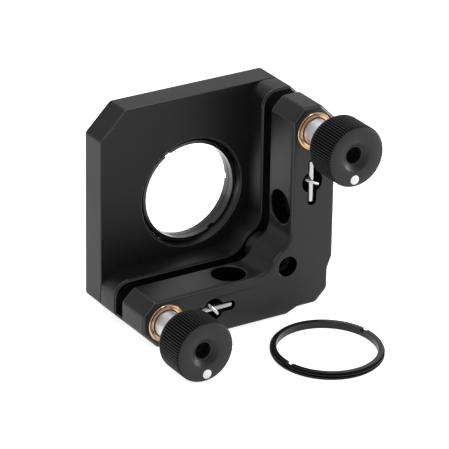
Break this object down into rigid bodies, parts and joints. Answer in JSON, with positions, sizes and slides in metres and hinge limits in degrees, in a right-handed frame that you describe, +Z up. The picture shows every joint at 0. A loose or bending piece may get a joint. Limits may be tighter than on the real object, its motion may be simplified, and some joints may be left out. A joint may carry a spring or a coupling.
{
  "type": "kinematic mirror mount",
  "caption": "Kinematic mount that tilts a round optic: a bored front plate sprung against ball tips of fine knurled adjuster screws in an L-shaped back plate.",
  "frame": {"origin": "middle of the back plate's bottom bearing face, half way through the plate's thickness", "axes": "+X to the right seen from behind the knobs, +Y from the back plate to the front plate and out along the optical axis, +Z up"},
  "size_m": [0.0535, 0.0575, 0.0543],
  "materials": {
    "black_anodised": "satin black anodised, bead blasted",
    "knob_black": "black anodised, straight knurled",
    "ring_black": "matt black anodised",
    "bronze": "turned bearing bronze",
    "ground_steel": "fine turned stainless steel",
    "black_oxide": "black oxide on alloy steel",
    "spring_steel": "bright drawn wire and ground pins",
    "polished_steel": "polished hardened steel"
  },
  "bodies": {
    "back_plate": {"back_plate": "black_anodised", "top_bushing": "bronze", "side_bushing": "bronze", "pivot_set_screw": "black_oxide", "top_rear_spring_pin": "spring_steel", "side_rear_spring_pin": "spring_steel"},
    "top_tip": {"top_ball_tip": "polished_steel"},
    "top_adjuster": {"top_screw": "ground_steel", "top_knob": "knob_black"},
    "side_tip": {"side_ball_tip": "polished_steel"},
    "side_adjuster": {"side_screw": "ground_steel", "side_knob": "knob_black"},
    "pivot": {"pivot_ball": "polished_steel"},
    "front_plate": {"front_plate": "black_anodised", "flat_seat": "polished_steel", "vee_seat": "polished_steel", "cone_seat": "polished_steel", "top_front_spring_pin": "spring_steel", "side_front_spring_pin": "spring_steel"},
    "top_spring": {"top_spring": "spring_steel"},
    "side_spring": {"side_spring": "spring_steel"},
    "rear_ring": {"rear_retaining_ring": "ring_black"},
    "front_ring": {"front_retaining_ring": "ring_black"},
    "spare_ring": {"spare_retaining_ring": "ring_black"}
  },
  "joints": [
    {"name": "top_tip_advance", "type": "slide", "parent": "back_plate", "child": "top_tip", "axis": [0, 1, 0], "range_m": [-0.00212, 0.00212]},
    {"name": "top_knob_turn", "type": "hinge", "parent": "top_tip", "child": "top_adjuster", "pos_m": [0.02345, 0.00567, 0.0448], "axis": [0, 1, 0], "range_deg": [-2400, 2400]},
    {"name": "side_tip_advance", "type": "slide", "parent": "back_plate", "child": "side_tip", "axis": [0, 1, 0], "range_m": [-0.00212, 0.00212]},
    {"name": "side_knob_turn", "type": "hinge", "parent": "side_tip", "child": "side_adjuster", "pos_m": [-0.01535, 0.00648, 0.006], "axis": [0, 1, 0], "range_deg": [-2400, 2400]},
    {"name": "side_to_side_tilt", "type": "hinge", "parent": "back_plate", "child": "pivot", "pos_m": [0.01705, 0.00648, 0.0124], "axis": [-0.1938, 0, -0.981], "range_deg": [-3.99, 3.99]},
    {"name": "up_and_down_tilt", "type": "hinge", "parent": "pivot", "child": "front_plate", "pos_m": [0.01705, 0.00648, 0.0124], "axis": [-0.981, 0, -0.1938], "range_deg": [-3.99, 3.99]},
    {"name": "top_spring_stretch", "type": "slide", "parent": "back_plate", "child": "top_spring", "axis": [0, 1, 0], "range_m": [-0.00129, 0.00129], "deforming": ["top_spring"]},
    {"name": "side_spring_stretch", "type": "slide", "parent": "back_plate", "child": "side_spring", "axis": [0, 1, 0], "range_m": [-0.00129, 0.00129], "deforming": ["side_spring"]},
    {"name": "rear_ring_unscrew", "type": "slide", "parent": "front_plate", "child": "rear_ring", "axis": [0, -1, 0], "range_m": [0, 0.003]},
    {"name": "front_ring_unscrew", "type": "slide", "parent": "front_plate", "child": "front_ring", "axis": [0, 1, 0], "range_m": [0, 0.005]},
    {"name": "spare_ring_lift", "type": "slide", "parent": "back_plate", "child": "spare_ring", "axis": [0, -0.0378, 0.9993], "range_m": [0, 0.02]}
  ],
  "couplings": [
    {"joint": "top_knob_turn", "follows": "top_tip_advance", "rad_per_m": 19790},
    {"joint": "up_and_down_tilt", "follows": "top_tip_advance", "rad_per_m": 32.738},
    {"joint": "top_spring_stretch", "follows": "top_tip_advance", "ratio": 0.60044},
    {"joint": "side_knob_turn", "follows": "side_tip_advance", "rad_per_m": 19790},
    {"joint": "side_to_side_tilt", "follows": "side_tip_advance", "rad_per_m": 32.738},
    {"joint": "side_spring_stretch", "follows": "side_tip_advance", "ratio": 0.60044}
  ]
}
